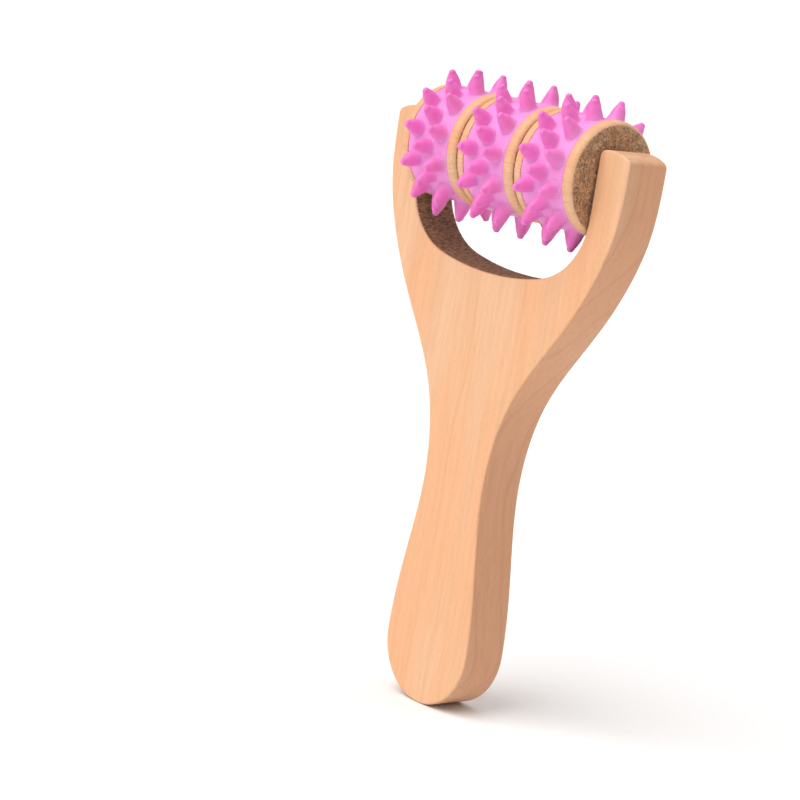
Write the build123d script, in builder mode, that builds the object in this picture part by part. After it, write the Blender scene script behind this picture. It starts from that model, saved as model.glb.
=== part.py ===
from build123d import *
import os

# Wooden roller massager: a beech fork with a paddle handle, and three beech spools that
# turn on one dowel across the fork, each spool wearing a soft ring of rounded spikes.
# It stands upright: +Z runs from the round end of the handle to the rollers, X runs from
# arm to arm along the dowel, and the front face of the board looks along -Y.
# Lengths are millimetres and angles are degrees.

# ---- driving dimensions ----
overall_length = 155.0  # handle end to the highest spike tip
overall_width = 80.0  # across both arms
board_thickness = 12.8
edge_round = 0.55  # rounding of the board's front and back edges

handle_end_half_width = 14.35
handle_end_height = 15.2  # where the elliptical end is widest
neck_half_width = 10.4
neck_height = 55.4

throat_half_width = 30.05  # the rollers run between the arms' inner faces
throat_bottom = 108.3  # height of the lowest point of the throat
throat_wall_foot_height = 114.8
throat_bottom_radius = 70.0
throat_corner_radius = 17.0
arm_outer_top = 141.9  # height of the arm's outer top corner
arm_inner_top = 143.2  # height of the arm's inner top corner
arm_crown = 143.7  # highest point of the arm's domed top
arm_corner_round = 1.6

spike_tip_radius = 18.75  # from the dowel's axis
spike_foot_radius = 2.4
spike_body_radius = 2.05  # just above the flared foot
spike_waist_radius = 1.5  # half way up
spike_tip_round = 0.7
spike_rows = 3
spikes_per_row = 12
row_spacing = 4.2

roller_pitch = 19.8
roller_gap = 0.35  # between neighbouring spools
spool_radius = 14.0
spool_rim_round = 1.4
groove_radius = 11.6
groove_width = 13.9

ring_radius = 13.9
ring_width = 13.8
ring_edge_round = 0.2

dowel_radius = 3.0
running_clearance = 0.06  # radial, dowel in spool
dowel_socket_depth = 6.0  # blind hole in the right arm
dowel_chamfer = 0.3
dowel_recess = 0.15  # the dowel's open end stands this far in from the arm's widest point

# ---- worked out from them ----
half_width = overall_width / 2
axis_height = overall_length - spike_tip_radius
spool_length = roller_pitch - roller_gap
bore_radius = dowel_radius + running_clearance
spike_step = 360 / spikes_per_row
dowel_left_end = dowel_recess - half_width
dowel_right_end = throat_half_width + dowel_socket_depth
roller_axis = Axis((0, 0, axis_height), (1, 0, 0))

# Each roller: its name, the place of its middle along X, and how far it has been turned.
rollers = [
    ("left", -roller_pitch, 18.3),
    ("middle", 0.0, 25.2),
    ("right", roller_pitch, 15.5),
]

os.makedirs("parts", exist_ok=True)


# ---- the board's outline: the right half, then its mirror image ----
handle_end_side = (handle_end_half_width, handle_end_height)
arm_outer_corner = (half_width, arm_outer_top)
arm_inner_corner = (throat_half_width, arm_inner_top)
throat_wall_foot = (throat_half_width, throat_wall_foot_height)

with BuildSketch(Plane.XZ.offset(-board_thickness / 2)) as board_outline:
    with BuildLine():
        Line((0, throat_bottom), (0, 0))
        EllipticalCenterArc(
            (0, handle_end_height),
            handle_end_half_width,
            handle_end_height,
            start_angle=270,
            arc_size=90,
        )
        Spline(
            handle_end_side,
            (13.25, 31.0),
            (neck_half_width, neck_height),
            (14.8, 78.8),
            (28.2, 100.2),
            (37.6, 119.7),
            arm_outer_corner,
            tangents=((0, 1), (0, 1)),
        )
        ThreePointArc(arm_outer_corner, (throat_half_width + 4.0, arm_crown), arm_inner_corner)
        Line(arm_inner_corner, throat_wall_foot)
        RadiusArc(throat_wall_foot, (0, throat_bottom), throat_bottom_radius)
    make_face()
    mirror(about=Plane.YZ)

# ---- handle and fork: one board, rounded all round, with the dowel's two holes ----
with BuildPart() as handle_fork:
    extrude(board_outline.sketch, amount=board_thickness)
    upright_edges = handle_fork.edges().filter_by(Axis.Y)
    throat_corners = upright_edges.filter_by_position(Axis.Z, throat_bottom + 1, arm_outer_top - 5)
    fillet(throat_corners, radius=throat_corner_radius)
    arm_corners = handle_fork.edges().filter_by(Axis.Y).group_by(Axis.Z)
    fillet(arm_corners[-1] + arm_corners[-2], radius=arm_corner_round)
    face_edges = handle_fork.faces().sort_by(Axis.Y)[0].edges()
    face_edges += handle_fork.faces().sort_by(Axis.Y)[-1].edges()
    fillet(face_edges, radius=edge_round)
    with BuildSketch(Plane(origin=(-half_width - 1, 0, axis_height), z_dir=(1, 0, 0))):
        Circle(dowel_radius)
    extrude(amount=half_width + 1 + dowel_right_end, mode=Mode.SUBTRACT)
handle_fork.part.label = "handle_fork"
export_step(handle_fork.part, "parts/handle_fork.step")

# ---- dowel: its left end stands level with the arm's outside, its right end is blind ----
with BuildPart() as dowel:
    with BuildSketch(Plane(origin=(dowel_left_end, 0, axis_height), z_dir=(1, 0, 0))):
        Circle(dowel_radius)
    extrude(amount=dowel_right_end - dowel_left_end)
    chamfer(dowel.edges(), length=dowel_chamfer)
dowel.part.label = "dowel"
export_step(dowel.part, "parts/dowel.step")


# ---- spool: turned beech with rounded rims, a wide groove for the ring, and a bore ----
def make_spool(middle):
    """A spool about the dowel's axis, with its middle at this place along X."""
    with BuildPart() as spool:
        with BuildSketch(Plane.XZ):
            with Locations((middle, axis_height + (spool_radius + bore_radius) / 2)):
                Rectangle(spool_length, spool_radius - bore_radius)
        revolve(axis=roller_axis)
        rims = spool.edges().filter_by(GeomType.CIRCLE).sort_by(SortBy.RADIUS)[-2:]
        fillet(rims, radius=spool_rim_round)
        with BuildSketch(Plane.XZ):
            with Locations((middle, axis_height + spool_radius)):
                Rectangle(groove_width, 2 * (spool_radius - groove_radius))
        revolve(axis=roller_axis, mode=Mode.SUBTRACT)
    return spool.part


# ---- spike: a rounded cone along +X from the roller's axis, with a flared foot ----
foot_height = ring_radius - 0.3  # where the flare starts, just under the ring's surface
waist_height = (ring_radius + spike_tip_radius) / 2
tip_centre = spike_tip_radius - spike_tip_round
with BuildPart() as spike:
    with BuildSketch(Plane.XY):
        with BuildLine():
            Polyline(
                (spike_tip_radius, 0),
                (groove_radius + 0.5, 0),
                (groove_radius + 0.5, spike_foot_radius),
                (foot_height, spike_foot_radius),
            )
            ThreePointArc(
                (foot_height, spike_foot_radius),
                (foot_height + 0.4, spike_foot_radius - 0.24),
                (foot_height + 1.0, spike_body_radius - 0.03),
            )
            ThreePointArc(
                (foot_height + 1.0, spike_body_radius - 0.03),
                (waist_height, spike_waist_radius),
                (tip_centre, spike_tip_round),
            )
            CenterArc((tip_centre, 0), spike_tip_round, 0, 90)
        make_face()
    revolve(axis=Axis.X)


# ---- ring: one soft moulding, a band with three rows of spikes, the middle row staggered ----
def make_ring(middle, turn):
    """A spiked ring about the dowel's axis, turned by this angle from +Y towards +Z."""
    with BuildPart() as ring:
        with BuildSketch(Plane.XZ):
            with Locations((middle, axis_height + (ring_radius + groove_radius) / 2)):
                band = Rectangle(ring_width, ring_radius - groove_radius)
            fillet(band.vertices().sort_by(Axis.Y)[-2:], radius=ring_edge_round)
        revolve(axis=roller_axis)
        for row in range(spike_rows):
            row_offset = (row - 1) * row_spacing
            row_turn = turn + (row % 2) * spike_step / 2
            with Locations(Plane((middle + row_offset, 0, axis_height), (0, 1, 0), (1, 0, 0))):
                with PolarLocations(0, spikes_per_row, start_angle=row_turn):
                    add(spike.part)
    return ring.part


for name, middle, turn in rollers:
    spool = make_spool(middle)
    spool.label = f"spool_{name}"
    export_step(spool, f"parts/spool_{name}.step")
    ring = make_ring(middle, turn)
    ring.label = f"spiked_ring_{name}"
    export_step(ring, f"parts/spiked_ring_{name}.step")
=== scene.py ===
"""A wooden roller massager: a beech fork, a dowel, three spools and their soft spiked rings.

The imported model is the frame. The board and the dowel keep their meshes and get a beech
finish. The spools and the spiked rings are modelled here in the places the frame gives.
"""

import math

import bmesh
import bpy
from bpy.props import FloatProperty, FloatVectorProperty, IntProperty, PointerProperty
from mathutils import Matrix, Vector


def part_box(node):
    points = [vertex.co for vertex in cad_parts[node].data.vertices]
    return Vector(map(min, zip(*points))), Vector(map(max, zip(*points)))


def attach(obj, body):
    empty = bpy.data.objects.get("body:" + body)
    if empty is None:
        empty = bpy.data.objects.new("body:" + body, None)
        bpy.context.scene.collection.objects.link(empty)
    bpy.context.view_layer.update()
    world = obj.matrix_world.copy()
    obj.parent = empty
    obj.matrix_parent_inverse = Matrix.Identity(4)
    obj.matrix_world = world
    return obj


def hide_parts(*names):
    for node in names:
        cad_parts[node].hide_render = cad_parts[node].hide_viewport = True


bl_info = {
    "name": "Wooden Roller Massager",
    "version": (1, 0, 0),
    "blender": (4, 5, 0),
    "location": "3D View > Sidebar > Massager",
    "description": "Finishes a beech roller massager with spiked rings on its packed frame",
    "category": "Object",
}

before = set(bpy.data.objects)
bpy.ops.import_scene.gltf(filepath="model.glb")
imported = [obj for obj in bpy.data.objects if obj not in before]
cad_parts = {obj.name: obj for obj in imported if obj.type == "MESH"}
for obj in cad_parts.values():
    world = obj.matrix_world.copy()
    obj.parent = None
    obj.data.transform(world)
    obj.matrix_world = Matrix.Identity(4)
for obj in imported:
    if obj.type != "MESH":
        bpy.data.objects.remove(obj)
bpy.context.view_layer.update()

SIDES = ("left", "middle", "right")
spool_low, spool_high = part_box("spool_middle")
ring_low, ring_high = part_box("spiked_ring_middle")
AXIS_HEIGHT = (spool_low.z + spool_high.z) / 2
SPOOL_RADIUS = (spool_high.z - spool_low.z) / 2
SPOOL_LENGTH = spool_high.x - spool_low.x
RING_WIDTH = ring_high.x - ring_low.x
TIP_RADIUS = max(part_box(f"spiked_ring_{side}")[1].z for side in SIDES) - AXIS_HEIGHT

MM = 1000  # millimetres in a metre, for patterns that are laid out in millimetres
TINY = 1e-6  # metres: points nearer than this are the same point
SHARP_ANGLE = math.radians(50)  # edges that turn by more than this stay sharp
LATHE_STEPS = 144  # faces round a spool or a band
SPIKE_STEPS = 28  # faces round a spike
LIP_ROUND = 0.00025  # rounding of a spool's lips beside the ring
SPIKE_ROOT = 0.0004  # how far a spike's foot reaches into the band
WAIST_ROUND = 0.0012  # softening of a spike half way up
FLOOR_RADIUS = 40
GRAIN_ALONG_X = (0, math.radians(90), 0)  # turns the grain from Z to X

# Each light: azimuth measured like the camera's, elevation and width, in degrees, and colour.
KEY_LIGHT = (-14, 52, 60, (1.0, 0.985, 0.965))
TOP_LIGHT = (165, 66, 80, (1.0, 1.0, 1.0))


# ---------------------------------------------------------------- settings


class BeechSettings(bpy.types.PropertyGroup):
    board_colour: FloatVectorProperty(
        name="Board colour", description="Pale beech between the growth lines",
        subtype="COLOR", size=3, min=0, max=1, default=(0.82, 0.49, 0.285),
    )
    board_dark: FloatVectorProperty(
        name="Board grain", description="Darker, redder beech in the growth lines",
        subtype="COLOR", size=3, min=0, max=1, default=(0.62, 0.31, 0.155),
    )
    board_warm: FloatVectorProperty(
        name="Board warmth", description="Orange beech in broad bands along the board",
        subtype="COLOR", size=3, min=0, max=1, default=(0.84, 0.435, 0.225),
    )
    # Partly painted shade: the walls between the arms get a browner, darker colour than the wood
    # has, standing in for the shade of the recess.
    throat_sawn_and_shade_colour: FloatVectorProperty(
        name="Throat walls", description="Brown of the rough-sawn walls between the arms",
        subtype="COLOR", size=3, min=0, max=1, default=(0.30, 0.185, 0.085),
    )
    spool_colour: FloatVectorProperty(
        name="Spool colour", description="Pale turned beech of the spools",
        subtype="COLOR", size=3, min=0, max=1, default=(0.82, 0.52, 0.31),
    )
    end_colour: FloatVectorProperty(
        name="End grain", description="Brown of the spools' rough open ends",
        subtype="COLOR", size=3, min=0, max=1, default=(0.62, 0.33, 0.165),
    )
    growth_spacing: FloatProperty(
        name="Growth spacing", description="Distance between growth lines",
        unit="LENGTH", default=0.0068,
    )


class SpoolSettings(bpy.types.PropertyGroup):
    rim_round: FloatProperty(
        name="Rim rounding", description="Rounding of a spool's outer rims",
        unit="LENGTH", default=0.0014,
    )
    groove_radius: FloatProperty(
        name="Groove radius", description="Radius of the groove that holds the ring",
        unit="LENGTH", default=0.0116,
    )
    groove_width: FloatProperty(
        name="Groove width", description="Width of the groove that holds the ring",
        unit="LENGTH", default=0.0139,
    )
    bore_radius: FloatProperty(
        name="Bore radius", description="Radius of the hole that turns on the dowel",
        unit="LENGTH", default=0.00306,
    )


class RingSettings(bpy.types.PropertyGroup):
    band_colour: FloatVectorProperty(
        name="Band colour", description="Lilac of the band between the spikes",
        subtype="COLOR", size=3, min=0, max=1, default=(0.86, 0.29, 0.68),
    )
    spike_colour: FloatVectorProperty(
        name="Spike colour", description="Stronger pink of the spikes",
        subtype="COLOR", size=3, min=0, max=1, default=(0.83, 0.175, 0.55),
    )
    band_radius: FloatProperty(
        name="Band radius", description="Outer radius of the band",
        unit="LENGTH", default=0.0139,
    )
    edge_round: FloatProperty(
        name="Edge rounding", description="Rounding of the band's two edges",
        unit="LENGTH", default=0.0002,
    )
    spikes_per_row: IntProperty(
        name="Spikes per row", description="Number of spikes round one row", default=12,
    )
    row_spacing: FloatProperty(
        name="Row spacing", description="Distance between the three rows of spikes",
        unit="LENGTH", default=0.0042,
    )
    foot_radius: FloatProperty(
        name="Spike foot", description="Radius of a spike's flared foot",
        unit="LENGTH", default=0.00245,
    )
    body_radius: FloatProperty(
        name="Spike body", description="Radius of a spike above its flared foot",
        unit="LENGTH", default=0.0021,
    )
    waist_radius: FloatProperty(
        name="Spike waist", description="Radius of a spike half way up",
        unit="LENGTH", default=0.00155,
    )
    tip_round: FloatProperty(
        name="Tip rounding", description="Radius of a spike's rounded tip",
        unit="LENGTH", default=0.00072,
    )
    turn_left: FloatProperty(
        name="Left turn", description="Rest angle of the left ring's first spike",
        subtype="ANGLE", default=math.radians(18.3),
    )
    turn_middle: FloatProperty(
        name="Middle turn", description="Rest angle of the middle ring's first spike",
        subtype="ANGLE", default=math.radians(25.2),
    )
    turn_right: FloatProperty(
        name="Right turn", description="Rest angle of the right ring's first spike",
        subtype="ANGLE", default=math.radians(15.5),
    )


class StudioSettings(bpy.types.PropertyGroup):
    azimuth: FloatProperty(
        name="Camera azimuth", description="Camera's turn from the front towards the right",
        subtype="ANGLE", default=math.radians(46.52),
    )
    elevation: FloatProperty(
        name="Camera elevation", description="Camera's height as an angle above level",
        subtype="ANGLE", default=math.radians(9.83),
    )
    roll: FloatProperty(
        name="Camera roll", description="How far the camera leans, so the handle leans right",
        subtype="ANGLE", default=math.radians(9.16),
    )
    distance: FloatProperty(
        name="Camera distance", description="From the camera to the point it looks at",
        unit="LENGTH", default=0.697,
    )
    aim: FloatVectorProperty(
        name="Camera aim", description="The point the camera looks at",
        subtype="XYZ", unit="LENGTH", size=3, default=(-0.02962, -0.00014, 0.06974),
    )
    lens: FloatProperty(
        name="Lens", description="Focal length in millimetres", default=124.37,
    )
    key_strength: FloatProperty(
        name="Key light", description="Strength of the soft key light", default=2.55,
    )
    top_strength: FloatProperty(
        name="Top light", description="Strength of the wide light from above and behind",
        default=1.0,
    )
    sky_strength: FloatProperty(
        name="Sky light", description="Strength of the light from all round", default=0.34,
    )


# ---------------------------------------------------------------- material helpers


class Finish:
    """A new procedural material and short ways to add nodes to it."""

    def __init__(self, name):
        self.material = bpy.data.materials.new(name)
        self.material.use_nodes = True
        self.tree = self.material.node_tree
        self.shader = self.tree.nodes["Principled BSDF"]

    def add(self, kind, **settings):
        node = self.tree.nodes.new(kind)
        for key, value in settings.items():
            setattr(node, key, value)
        return node

    def link(self, source, target):
        self.tree.links.new(source, target)

    def place(self, turn=(0, 0, 0), stretch=(1, 1, 1), shift=(0, 0, 0)):
        """Object coordinates in millimetres, turned and then stretched."""
        coordinates = self.add("ShaderNodeTexCoord")
        mapping = self.add("ShaderNodeMapping", vector_type="POINT")
        mapping.inputs["Location"].default_value = shift
        mapping.inputs["Rotation"].default_value = turn
        mapping.inputs["Scale"].default_value = (MM, MM, MM)
        stretched = self.add("ShaderNodeMapping", vector_type="POINT")
        stretched.inputs["Scale"].default_value = stretch
        self.link(coordinates.outputs["Object"], mapping.inputs["Vector"])
        self.link(mapping.outputs["Vector"], stretched.inputs["Vector"])
        return stretched.outputs["Vector"]

    def noise(self, where, scale, detail=2.0, roughness=0.5, distortion=0.0):
        node = self.add("ShaderNodeTexNoise")
        node.inputs["Scale"].default_value = scale
        node.inputs["Detail"].default_value = detail
        node.inputs["Roughness"].default_value = roughness
        node.inputs["Distortion"].default_value = distortion
        self.link(where, node.inputs["Vector"])
        return node.outputs["Fac"]

    def maths(self, operation, first, second=None):
        node = self.add("ShaderNodeMath", operation=operation)
        for socket, value in zip(node.inputs, (first, second)):
            if isinstance(value, (int, float)):
                socket.default_value = value
            elif value is not None:
                self.link(value, socket)
        return node.outputs["Value"]

    def step(self, value, low, high, start=0.0, end=1.0):
        """A smooth change from start to end as the value goes from low to high."""
        node = self.add("ShaderNodeMapRange", interpolation_type="SMOOTHSTEP")
        limits = {"From Min": low, "From Max": high, "To Min": start, "To Max": end}
        for key, number in limits.items():
            node.inputs[key].default_value = number
        self.link(value, node.inputs["Value"])
        return node.outputs["Result"]

    def mix(self, factor, first, second, blend="MIX"):
        node = self.add("ShaderNodeMix", data_type="RGBA", blend_type=blend)
        sockets = (node.inputs[0], node.inputs[6], node.inputs[7])
        for socket, value in zip(sockets, (factor, first, second)):
            if isinstance(value, (int, float)):
                socket.default_value = value
            elif isinstance(value, bpy.types.NodeSocket):
                self.link(value, socket)
            else:
                socket.default_value = (*value, 1)
        return node.outputs[2]

    def bump(self, height, strength, distance, below=None):
        node = self.add("ShaderNodeBump")
        node.inputs["Strength"].default_value = strength
        node.inputs["Distance"].default_value = distance
        self.link(height, node.inputs["Height"])
        if below is not None:
            self.link(below, node.inputs["Normal"])
        return node.outputs["Normal"]


def shade(colour, factor):
    """The same colour, lighter or darker by this factor."""
    return tuple(channel * factor for channel in colour)


def facing(finish, axis):
    """How squarely the surface faces along this object axis, from 0 to 1."""
    coordinates = finish.add("ShaderNodeTexCoord")
    parts = finish.add("ShaderNodeSeparateXYZ")
    finish.link(coordinates.outputs["Normal"], parts.inputs["Vector"])
    return finish.maths("ABSOLUTE", parts.outputs[axis])


def beech(name, pale, warm, dark, spacing, turn=(0, 0, 0), pith=(-150, 118), lines=0.13):
    """Sanded beech. The grain runs along the turned Z axis, round a pith off to one side.

    Returns the finish, its tone, and its fibres, flecks and growth lines.
    """
    wood = Finish(name)
    where = wood.place(turn=turn)

    # Growth lines: distance from the pith, bent a little by slow noise along the grain.
    centred = wood.add("ShaderNodeVectorMath", operation="SUBTRACT")
    centred.inputs[1].default_value = (*pith, 0)
    wood.link(where, centred.inputs[0])
    flat = wood.add("ShaderNodeVectorMath", operation="MULTIPLY")
    flat.inputs[1].default_value = (1, 1, 0.03)
    wood.link(centred.outputs[0], flat.inputs[0])
    reach = wood.add("ShaderNodeVectorMath", operation="LENGTH")
    wood.link(flat.outputs[0], reach.inputs[0])
    waver = wood.noise(wood.place(turn=turn, stretch=(1, 1, 0.3)), 0.05, 2.0)
    bent = wood.maths("ADD", reach.outputs["Value"], wood.maths("MULTIPLY", waver, 11.0))
    phase = wood.maths("FRACT", wood.maths("DIVIDE", bent, spacing * MM))
    slow = wood.step(phase, 0.1, 0.97, 0.0, 0.35)
    rise, fall = wood.step(phase, 0.84, 0.95), wood.step(phase, 0.96, 1.0, 1.0, 0.0)
    line = wood.maths("MULTIPLY", rise, fall)
    growth = wood.maths("ADD", slow, line)

    # Fibres, flecks and slow changes of tone, all drawn out along the grain.
    fibres = wood.noise(wood.place(turn=turn, stretch=(1, 1, 0.035)), 3.1, 5.0, 0.66)
    streaks = wood.noise(wood.place(turn=turn, stretch=(1, 1, 0.03)), 0.75, 3.0, 0.55)
    flecks = wood.noise(wood.place(turn=turn, stretch=(1, 1, 0.2)), 3.6, 1.0, 0.4)
    fleck = wood.step(flecks, 0.60, 0.72)
    cloud = wood.noise(wood.place(turn=turn, stretch=(1, 1, 0.16), shift=(31, 7, 0)), 0.075, 1.5)

    tone = wood.mix(wood.step(cloud, 0.40, 0.60, 0.0, 0.85), pale, warm)
    tone = wood.mix(wood.step(streaks, 0.40, 0.72, 0.0, 0.22), tone, dark)
    tone = wood.mix(wood.maths("MULTIPLY", growth, lines), tone, dark)
    tone = wood.mix(wood.step(fibres, 0.38, 0.70, 0.0, 0.27), tone, dark)
    rays = wood.noise(wood.place(turn=turn, stretch=(1, 1, 0.45)), 2.6, 3.0, 0.7)
    tone = wood.mix(wood.step(rays, 0.46, 0.66, 0.0, 0.13), tone, dark)
    tone = wood.mix(wood.maths("MULTIPLY", fleck, 0.13), tone, shade(dark, 0.62))
    return wood, tone, fibres, fleck, line


def board_finish(settings):
    """Beech of the board: a pale sanded face, edges darkened with painted shade, rough walls
    between the arms darkened with painted shade.
    """
    pale, dark = tuple(settings.board_colour), tuple(settings.board_dark)
    wood, tone, fibres, fleck, line = beech(
        "beech_board", pale, tuple(settings.board_warm), dark, settings.growth_spacing,
    )
    side = wood.step(facing(wood, "Y"), 0.35, 0.95, 1.0, 0.0)
    end = wood.step(facing(wood, "Z"), 0.45, 1.0)
    pores = wood.noise(wood.place(), 2.2, 3.0, 0.62)
    pore = wood.step(pores, 0.50, 0.62)

    # The edges are painted darker and browner than the face as painted shade; the growth lines
    # and pores drawn on them are the wood's own.
    edge_grain_and_shade = wood.mix(1.0, tone, (0.83, 0.775, 0.775), "MULTIPLY")
    edge_grain_and_shade = wood.mix(wood.maths("MULTIPLY", line, 0.20), edge_grain_and_shade, shade(dark, 0.75))
    edge_grain_and_shade = wood.mix(wood.maths("MULTIPLY", pore, 0.10), edge_grain_and_shade, dark)
    # Painted shade: the edge faces take the darker edge colour.
    colour = wood.mix(side, tone, edge_grain_and_shade)

    # End grain on the arms' tops and the handle's end: worn pale in patches, with open pores.
    wear = wood.noise(wood.place(stretch=(1, 0.35, 1)), 0.42, 2.0, 0.5)
    rubbed = wood.step(wear, 0.34, 0.68)
    end_tone = wood.mix(0.22, colour, dark)
    end_tone = wood.mix(wood.maths("MULTIPLY", rubbed, 0.5), end_tone, (0.90, 0.62, 0.39))
    end_tone = wood.mix(wood.maths("MULTIPLY", pore, 0.28), end_tone, shade(dark, 0.6))
    colour = wood.mix(wood.maths("MULTIPLY", end, 0.8), colour, end_tone)

    # The walls between the arms are left as sawn, with cross marks in the brown, and are painted
    # dark as painted shade of the narrow recess between the arms.
    place = wood.add("ShaderNodeSeparateXYZ")
    wood.link(wood.place(), place.inputs["Vector"])
    across = wood.maths("ABSOLUTE", place.outputs["X"])
    sheer = wood.step(facing(wood, "Y"), 0.10, 0.45, 1.0, 0.0)
    sawn_throat_and_shade = wood.maths("MULTIPLY", wood.step(across, 30.5, 31.3, 1.0, 0.0), sheer)
    sawn_throat_and_shade = wood.maths("MULTIPLY", sawn_throat_and_shade, wood.step(place.outputs["Z"], 106.5, 108.2))
    sawn_throat_and_shade = wood.maths("MULTIPLY", sawn_throat_and_shade, wood.step(place.outputs["Z"], 141.2, 142.6, 1.0, 0.0))
    sawn = wood.noise(wood.place(stretch=(1, 0.28, 1)), 2.3, 5.0, 0.72)
    # Painted shade: this dark brown is partly the sawn surface and partly the shade that falls
    # between the arms.
    brown = tuple(settings.throat_sawn_and_shade_colour)
    shaded_sawn_wall = wood.mix(wood.step(sawn, 0.36, 0.64), shade(brown, 0.42), shade(brown, 1.45))
    colour = wood.mix(sawn_throat_and_shade, colour, shaded_sawn_wall)

    wood.link(colour, wood.shader.inputs["Base Color"])
    rougher = wood.maths("MULTIPLY", sawn_throat_and_shade, 0.3)
    rough = wood.maths("ADD", wood.step(fibres, 0.3, 0.8, 0.46, 0.58), rougher)
    wood.link(rough, wood.shader.inputs["Roughness"])
    normal = wood.bump(fibres, 0.10, 0.0003)
    normal = wood.bump(wood.maths("MULTIPLY", fleck, -1.0), 0.06, 0.0002, normal)
    normal = wood.bump(wood.maths("MULTIPLY", sawn, sawn_throat_and_shade), 0.8, 0.0008, normal)
    wood.link(normal, wood.shader.inputs["Normal"])
    return wood.material


def dowel_finish(settings):
    """Beech of the dowel, with its grain along X and its pores open at the ends."""
    pale, dark = tuple(settings.spool_colour), tuple(settings.board_dark)
    warm = tuple(settings.board_warm)
    wood, tone, fibres, *_ = beech(
        "beech_dowel", pale, warm, dark, 0.0022, GRAIN_ALONG_X, (-12, 9),
    )
    end = wood.step(facing(wood, "X"), 0.6, 1.0)
    pores = wood.noise(wood.place(), 3.2, 2.0, 0.6)
    pore = wood.step(pores, 0.50, 0.62)
    end_tone = wood.mix(
        wood.maths("MULTIPLY", pore, 0.7), shade(dark, 0.9), tuple(settings.end_colour),
    )
    wood.link(wood.mix(end, tone, end_tone), wood.shader.inputs["Base Color"])
    wood.link(wood.step(fibres, 0.3, 0.8, 0.52, 0.66), wood.shader.inputs["Roughness"])
    wood.link(wood.bump(fibres, 0.2, 0.0003), wood.shader.inputs["Normal"])
    return wood.material


def spool_finish(settings, side):
    """Turned beech: smooth rims with the grain along X, and rough brown open ends."""
    shift = {"left": 3.0, "middle": 11.0, "right": 19.0}[side]
    turn = GRAIN_ALONG_X
    pale, dark = tuple(settings.spool_colour), tuple(settings.board_dark)
    warm = tuple(settings.board_warm)
    pith = (-AXIS_HEIGHT * MM - shift, shift - 11)
    name = f"beech_spool_{side}"
    wood, tone, fibres, *_ = beech(name, pale, warm, dark, 0.0026, turn, pith, 0.3)

    # The rims are cut across the grain, so the fibres end in fine dark ticks.
    across = wood.place(turn=turn, stretch=(1, 1, 0.3), shift=(shift, 0, 0))
    ticks = wood.noise(across, 2.4, 3.0, 0.6)
    tone = wood.mix(wood.step(ticks, 0.50, 0.66, 0.0, 0.38), tone, dark)

    # The open ends are rough and pitted, brown with pale crumbs and dark holes.
    end = wood.step(facing(wood, "X"), 0.86, 0.985)
    patches = wood.noise(wood.place(shift=(0, shift, 0)), 0.45, 3.0, 0.6)
    pores = wood.noise(wood.place(shift=(shift, 0, 0)), 1.9, 4.0, 0.72)
    crumbs = wood.noise(wood.place(shift=(0, 0, shift)), 1.5, 4.0, 0.75)
    brown = tuple(settings.end_colour)
    patch = wood.step(patches, 0.40, 0.62)
    open_end = wood.mix(patch, shade(brown, 0.80), shade(brown, 1.30))
    open_end = wood.mix(wood.step(crumbs, 0.54, 0.60, 0.0, 0.85), open_end, (0.90, 0.68, 0.48))
    open_end = wood.mix(wood.step(pores, 0.54, 0.60, 0.0, 0.85), open_end, (0.16, 0.07, 0.035))
    wood.link(wood.mix(end, tone, open_end), wood.shader.inputs["Base Color"])
    wood.link(wood.step(end, 0.0, 1.0, 0.50, 0.85), wood.shader.inputs["Roughness"])
    relief = wood.maths("MULTIPLY", wood.maths("SUBTRACT", crumbs, pores), end)
    normal = wood.bump(fibres, 0.18, 0.0003)
    normal = wood.bump(relief, 0.9, 0.0010, normal)
    wood.link(normal, wood.shader.inputs["Normal"])
    return wood.material


def ring_finish(settings):
    """Soft satin plastic: lilac on the band, turning to a stronger pink up each spike."""
    plastic = Finish("ring_plastic_satin")
    coordinates = plastic.add("ShaderNodeTexCoord")
    centred = plastic.add("ShaderNodeVectorMath", operation="SUBTRACT")
    centred.inputs[1].default_value = (0, 0, AXIS_HEIGHT)
    plastic.link(coordinates.outputs["Object"], centred.inputs[0])
    flat = plastic.add("ShaderNodeVectorMath", operation="MULTIPLY")
    flat.inputs[1].default_value = (0, MM, MM)
    plastic.link(centred.outputs[0], flat.inputs[0])
    reach = plastic.add("ShaderNodeVectorMath", operation="LENGTH")
    plastic.link(flat.outputs[0], reach.inputs[0])
    band = settings.band_radius * MM
    climb = plastic.step(reach.outputs["Value"], band - 0.1, band + 2.4)
    cloud = plastic.noise(plastic.place(), 0.35, 2.0)
    climb = plastic.maths("MULTIPLY", climb, plastic.step(cloud, 0.3, 0.7, 0.75, 1.0))
    colour = plastic.mix(climb, tuple(settings.band_colour), tuple(settings.spike_colour))
    plastic.link(colour, plastic.shader.inputs["Base Color"])
    grain = plastic.noise(plastic.place(), 3.5, 3.0, 0.6)
    plastic.link(plastic.step(grain, 0.3, 0.7, 0.38, 0.50), plastic.shader.inputs["Roughness"])
    plastic.shader.inputs["Subsurface Weight"].default_value = 0.25
    plastic.shader.inputs["Subsurface Radius"].default_value = (1.0, 0.35, 0.7)
    plastic.shader.inputs["Subsurface Scale"].default_value = 0.0012
    normal = plastic.bump(grain, 0.08, 0.0002)
    normal = plastic.bump(plastic.noise(plastic.place(), 0.9, 2.0), 0.12, 0.0006, normal)
    plastic.link(normal, plastic.shader.inputs["Normal"])
    return plastic.material


def floor_finish():
    """Matt white paper, with a tooth too fine to see from afar."""
    paper = Finish("studio_paper")
    tooth = paper.noise(paper.place(), 0.4, 2.0)
    white = paper.mix(tooth, (0.90, 0.90, 0.90), (0.93, 0.93, 0.93))
    paper.link(white, paper.shader.inputs["Base Color"])
    paper.shader.inputs["Roughness"].default_value = 0.9
    paper.shader.inputs["Specular IOR Level"].default_value = 0.1
    return paper.material


# ---------------------------------------------------------------- shared mesh steps


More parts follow.
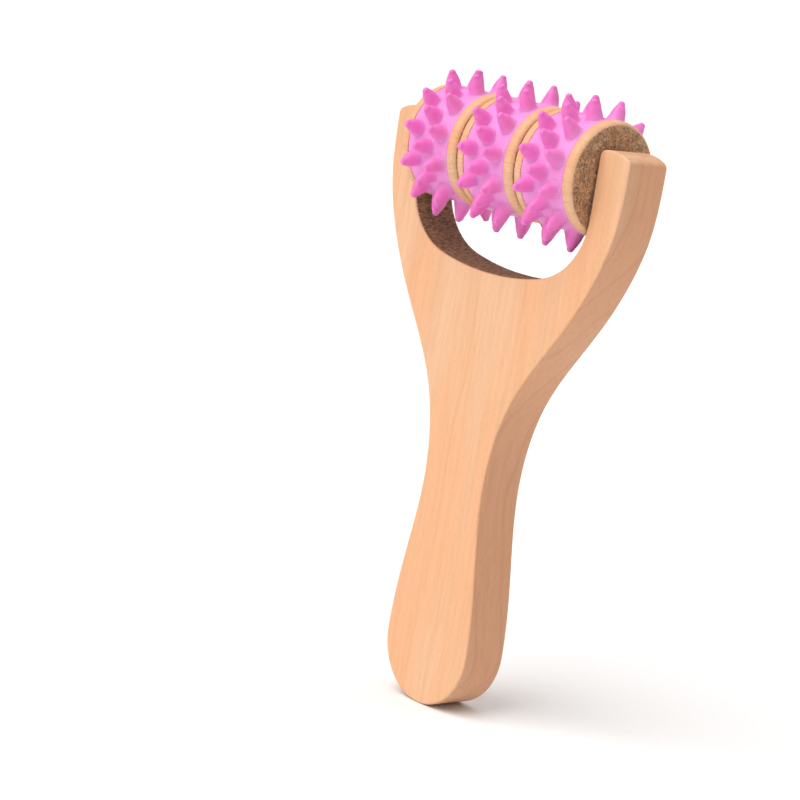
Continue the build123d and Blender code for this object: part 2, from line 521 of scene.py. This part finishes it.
def finish_piece(bm, name, material, body, slot_name, *nodes):
    """Turns the mesh into a smooth-shaded piece that rides on a body and replaces its nodes."""
    bmesh.ops.remove_doubles(bm, verts=bm.verts, dist=TINY)
    bmesh.ops.recalc_face_normals(bm, faces=bm.faces)
    mesh = bpy.data.meshes.new(name)
    bm.to_mesh(mesh)
    bm.free()
    mesh.materials.append(material)
    for polygon in mesh.polygons:
        polygon.use_smooth = True
    mesh.set_sharp_from_angle(angle=SHARP_ANGLE)
    piece = bpy.data.objects.new(name, mesh)
    bpy.context.scene.collection.objects.link(piece)
    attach(piece, body)
    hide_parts(*nodes)
    return piece


def chain(bm, points):
    """Vertices at these points, joined by edges one after another."""
    verts = [bm.verts.new(point) for point in points]
    for pair in zip(verts, verts[1:]):
        bm.edges.new(pair)
    return verts


def round_corners(bm, verts, radius, segments):
    """Rounds the corners of an outline at these vertices."""
    bmesh.ops.bevel(
        bm, geom=verts, offset=radius, offset_type="OFFSET", segments=segments,
        profile=0.5, affect="VERTICES", material=-1,
    )


def lathe(bm, centre, steps):
    """Spins the whole outline round the X axis through the centre, once about."""
    bmesh.ops.spin(
        bm, geom=bm.verts[:] + bm.edges[:], cent=centre, axis=(1, 0, 0),
        angle=math.tau, steps=steps, use_merge=True, use_duplicate=False,
    )


def dress(node, material):
    """Gives a node of the frame its finish."""
    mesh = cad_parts[node].data
    mesh.materials.clear()
    mesh.materials.append(material)


# ---------------------------------------------------------------- the pieces


class MASSAGER_OT_board(bpy.types.Operator):
    """Finish the forked beech board"""

    bl_idname = "massager.board"
    bl_label = "Board"

    def execute(self, context):
        dress("handle_fork", board_finish(context.scene.massager_beech))
        return {"FINISHED"}


class MASSAGER_OT_dowel(bpy.types.Operator):
    """Finish the dowel that the spools turn on"""

    bl_idname = "massager.dowel"
    bl_label = "Dowel"

    def execute(self, context):
        dress("dowel", dowel_finish(context.scene.massager_beech))
        return {"FINISHED"}


class MASSAGER_OT_spools(bpy.types.Operator):
    """Turn the three beech spools with rounded rims, a groove and a bore"""

    bl_idname = "massager.spools"
    bl_label = "Spools"

    def execute(self, context):
        shape = context.scene.massager_spool
        for side in SIDES:
            low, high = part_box(f"spool_{side}")
            middle = (low.x + high.x) / 2
            material = spool_finish(context.scene.massager_beech, side)
            bm = self.turned(shape, middle)
            name = f"turned_spool_{side}"
            finish_piece(bm, name, material, f"roller_{side}", "spool_wood", f"spool_{side}")
        return {"FINISHED"}

    def turned(self, shape, middle):
        """A spool's mesh, with its middle at this place along X."""
        bm = bmesh.new()
        end = SPOOL_LENGTH / 2
        groove = shape.groove_width / 2
        outline = [
            (-end, shape.bore_radius), (-end, SPOOL_RADIUS), (-groove, SPOOL_RADIUS),
            (-groove, shape.groove_radius), (groove, shape.groove_radius),
            (groove, SPOOL_RADIUS), (end, SPOOL_RADIUS), (end, shape.bore_radius),
        ]
        points = [(middle + x, 0, AXIS_HEIGHT + reach) for x, reach in outline]
        chain(bm, points + points[:1])
        bmesh.ops.remove_doubles(bm, verts=bm.verts, dist=TINY)
        corner = [v for v in bm.verts if abs(v.co.z - AXIS_HEIGHT - SPOOL_RADIUS) < TINY]
        rims = [v for v in corner if abs(abs(v.co.x - middle) - end) < TINY]
        lips = [v for v in corner if v not in rims]
        round_corners(bm, rims, shape.rim_round, 8)
        round_corners(bm, lips, LIP_ROUND, 3)
        lathe(bm, (middle, 0, AXIS_HEIGHT), LATHE_STEPS)
        return bm


class MASSAGER_OT_rings(bpy.types.Operator):
    """Mould the three soft rings, each a band with three rows of rounded spikes"""

    bl_idname = "massager.rings"
    bl_label = "Spiked rings"

    def execute(self, context):
        shape = context.scene.massager_ring
        material = ring_finish(shape)
        spike = self.spike(shape)
        turns = {"left": shape.turn_left, "middle": shape.turn_middle, "right": shape.turn_right}
        for side in SIDES:
            low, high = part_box(f"spiked_ring_{side}")
            middle = (low.x + high.x) / 2
            bm = self.band(context, shape, middle)
            for row in (-1, 0, 1):
                stagger = 0.5 if row == 0 else 0.0
                for count in range(shape.spikes_per_row):
                    angle = turns[side] + (count + stagger) * math.tau / shape.spikes_per_row
                    self.plant(bm, spike, shape, middle + row * shape.row_spacing, angle)
            name = f"soft_ring_{side}"
            finish_piece(
                bm, name, material, f"roller_{side}", "ring_plastic", f"spiked_ring_{side}",
            )
        bpy.data.meshes.remove(spike)
        return {"FINISHED"}

    def band(self, context, shape, middle):
        """The band that sits in the spool's groove, with its two edges rounded."""
        bm = bmesh.new()
        half, reach = RING_WIDTH / 2, shape.band_radius
        groove = context.scene.massager_spool.groove_radius
        outline = [(-half, groove), (-half, reach), (half, reach), (half, groove)]
        points = [(middle + x, 0, AXIS_HEIGHT + reach) for x, reach in outline]
        chain(bm, points + points[:1])
        bmesh.ops.remove_doubles(bm, verts=bm.verts, dist=TINY)
        edge = [v for v in bm.verts if v.co.z > AXIS_HEIGHT + shape.band_radius - TINY]
        round_corners(bm, edge, shape.edge_round, 4)
        lathe(bm, (middle, 0, AXIS_HEIGHT), LATHE_STEPS)
        return bm

    def spike(self, shape):
        """One spike along X from 0, with a flared foot, a body and a round tip."""
        height = TIP_RADIUS - shape.band_radius
        tip = shape.tip_round
        bm = bmesh.new()
        outline = [
            (-SPIKE_ROOT, 0), (-SPIKE_ROOT, shape.foot_radius),
            (0, shape.foot_radius), (0, shape.body_radius),
            (height / 2, shape.waist_radius), (height - tip, tip), (height, tip), (height, 0),
        ]
        verts = chain(bm, [(x, reach, 0) for x, reach in outline])
        foot, waist, crown = verts[3], verts[4], verts[6]
        # A little less than the whole length between corners, so none of them collapses.
        round_corners(bm, [foot], (shape.foot_radius - shape.body_radius) * 0.95, 5)
        round_corners(bm, [waist], WAIST_ROUND, 5)
        round_corners(bm, [crown], tip * 0.97, 6)
        lathe(bm, (0, 0, 0), SPIKE_STEPS)
        bmesh.ops.remove_doubles(bm, verts=bm.verts, dist=TINY)
        bmesh.ops.recalc_face_normals(bm, faces=bm.faces)
        mesh = bpy.data.meshes.new("spike")
        bm.to_mesh(mesh)
        bm.free()
        return mesh

    def plant(self, bm, spike, shape, across, angle):
        """Adds a spike to the band at this angle, its foot bent to lie on the band."""
        already = len(bm.verts)
        bm.from_mesh(spike)
        bm.verts.ensure_lookup_table()
        for vert in bm.verts[already:]:
            height, sideways, along = vert.co
            spread = angle + sideways / shape.band_radius
            reach = shape.band_radius + height
            vert.co = Vector((
                across + along, reach * math.cos(spread), AXIS_HEIGHT + reach * math.sin(spread),
            ))


class MASSAGER_OT_stage(bpy.types.Operator):
    """Set the pale floor, the soft light and the camera"""

    bl_idname = "massager.stage"
    bl_label = "Stage"

    def execute(self, context):
        studio = context.scene.massager_studio
        self.floor()
        self.light(context, studio)
        self.camera(context, studio)
        context.scene.view_settings.view_transform = "Standard"
        return {"FINISHED"}

    def floor(self):
        bm = bmesh.new()
        bmesh.ops.create_circle(bm, cap_ends=True, segments=96, radius=FLOOR_RADIUS)
        mesh = bpy.data.meshes.new("floor")
        bm.to_mesh(mesh)
        bm.free()
        mesh.materials.append(floor_finish())
        floor = bpy.data.objects.new("floor", mesh)
        bpy.context.scene.collection.objects.link(floor)

    def light(self, context, studio):
        self.sun(context, "key_light", studio.key_strength, *KEY_LIGHT)
        self.sun(context, "top_light", studio.top_strength, *TOP_LIGHT)
        world = bpy.data.worlds.new("studio")
        world.use_nodes = True
        background = world.node_tree.nodes["Background"]
        background.inputs["Color"].default_value = (1, 1, 1, 1)
        background.inputs["Strength"].default_value = studio.sky_strength
        context.scene.world = world

    def sun(self, context, name, strength, azimuth, elevation, width, colour):
        """A soft light from this azimuth and elevation, in degrees."""
        light = bpy.data.objects.new(name, bpy.data.lights.new(name, "SUN"))
        light.data.energy = strength
        light.data.angle = math.radians(width)
        light.data.color = colour
        context.scene.collection.objects.link(light)
        turn, rise = math.radians(azimuth), math.radians(elevation)
        towards = Vector((
            math.sin(turn) * math.cos(rise), -math.cos(turn) * math.cos(rise), math.sin(rise),
        ))
        light.rotation_mode = "QUATERNION"
        light.rotation_quaternion = towards.to_track_quat("Z", "Y")

    def camera(self, context, studio):
        camera = bpy.data.objects.new("camera", bpy.data.cameras.new("camera"))
        camera.data.lens = studio.lens
        camera.data.sensor_width = 36
        camera.data.clip_start, camera.data.clip_end = 0.01, 200
        flat = math.cos(studio.elevation)
        back = Vector((
            math.sin(studio.azimuth) * flat,
            -math.cos(studio.azimuth) * flat,
            math.sin(studio.elevation),
        ))
        upright = back.to_track_quat("Z", "Y").to_matrix().to_4x4()
        lean = Matrix.Rotation(studio.roll, 4, "Z")
        stand = Matrix.Translation(Vector(studio.aim) + back * studio.distance)
        camera.matrix_world = stand @ upright @ lean
        context.scene.collection.objects.link(camera)
        context.scene.camera = camera


class MASSAGER_PT_panel(bpy.types.Panel):
    """The massager's pieces, in the order they are made"""

    bl_label = "Massager"
    bl_idname = "MASSAGER_PT_panel"
    bl_space_type = "VIEW_3D"
    bl_region_type = "UI"
    bl_category = "Massager"

    def draw(self, context):
        for operator in OPERATORS:
            self.layout.operator(operator.bl_idname)


SETTINGS = {
    "massager_beech": BeechSettings,
    "massager_spool": SpoolSettings,
    "massager_ring": RingSettings,
    "massager_studio": StudioSettings,
}
OPERATORS = (
    MASSAGER_OT_board,
    MASSAGER_OT_dowel,
    MASSAGER_OT_spools,
    MASSAGER_OT_rings,
    MASSAGER_OT_stage,
)


def register():
    for name, group in SETTINGS.items():
        bpy.utils.register_class(group)
        setattr(bpy.types.Scene, name, PointerProperty(type=group))
    for operator in OPERATORS:
        bpy.utils.register_class(operator)
    bpy.utils.register_class(MASSAGER_PT_panel)


def unregister():
    bpy.utils.unregister_class(MASSAGER_PT_panel)
    for operator in reversed(OPERATORS):
        bpy.utils.unregister_class(operator)
    for name, group in reversed(SETTINGS.items()):
        delattr(bpy.types.Scene, name)
        bpy.utils.unregister_class(group)


def main():
    register()
    bpy.ops.massager.board()
    bpy.ops.massager.dowel()
    bpy.ops.massager.spools()
    bpy.ops.massager.rings()
    bpy.ops.massager.stage()


if __name__ == "__main__":
    main()
